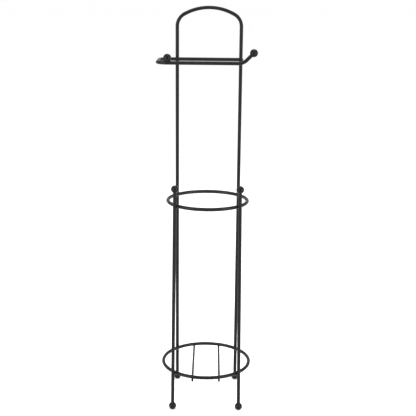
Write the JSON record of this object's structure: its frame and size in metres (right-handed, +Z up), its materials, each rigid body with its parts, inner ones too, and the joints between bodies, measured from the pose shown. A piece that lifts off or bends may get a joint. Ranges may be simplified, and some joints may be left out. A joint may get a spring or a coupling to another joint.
{
  "type": "toilet roll holder",
  "caption": "Free-standing wire toilet roll holder: tall rear hoop, two short front legs, two rings for spare rolls, a bent arm for the roll in use, and ball ends.",
  "frame": {"origin": "on the floor, under the middle of the whole outline's bounding box", "axes": "+Z up; +Y towards the back, where the tall hoop stands; +X to the right of a person who faces the front, which is the side that the roll arm opens to"},
  "size_m": [0.1518, 0.1456, 0.6303],
  "materials": {
    "powder_coated_wire": "satin black powder coat on steel wire",
    "powder_coated_ball": "semi-gloss black powder coat on turned steel balls"
  },
  "bodies": {
    "root": {"rear_hoop": "powder_coated_wire", "front_leg_left": "powder_coated_wire", "front_leg_right": "powder_coated_wire", "upper_ring": "powder_coated_wire", "lower_ring": "powder_coated_wire", "cross_wire_left": "powder_coated_wire", "cross_wire_right": "powder_coated_wire", "roll_arm": "powder_coated_wire", "foot_ball_front_left": "powder_coated_ball", "foot_ball_front_right": "powder_coated_ball", "foot_ball_rear_left": "powder_coated_ball", "foot_ball_rear_right": "powder_coated_ball", "leg_top_ball_left": "powder_coated_ball", "leg_top_ball_right": "powder_coated_ball", "arm_tip_ball": "powder_coated_ball", "roll_stop_ball": "powder_coated_ball"}
  },
  "joints": []
}
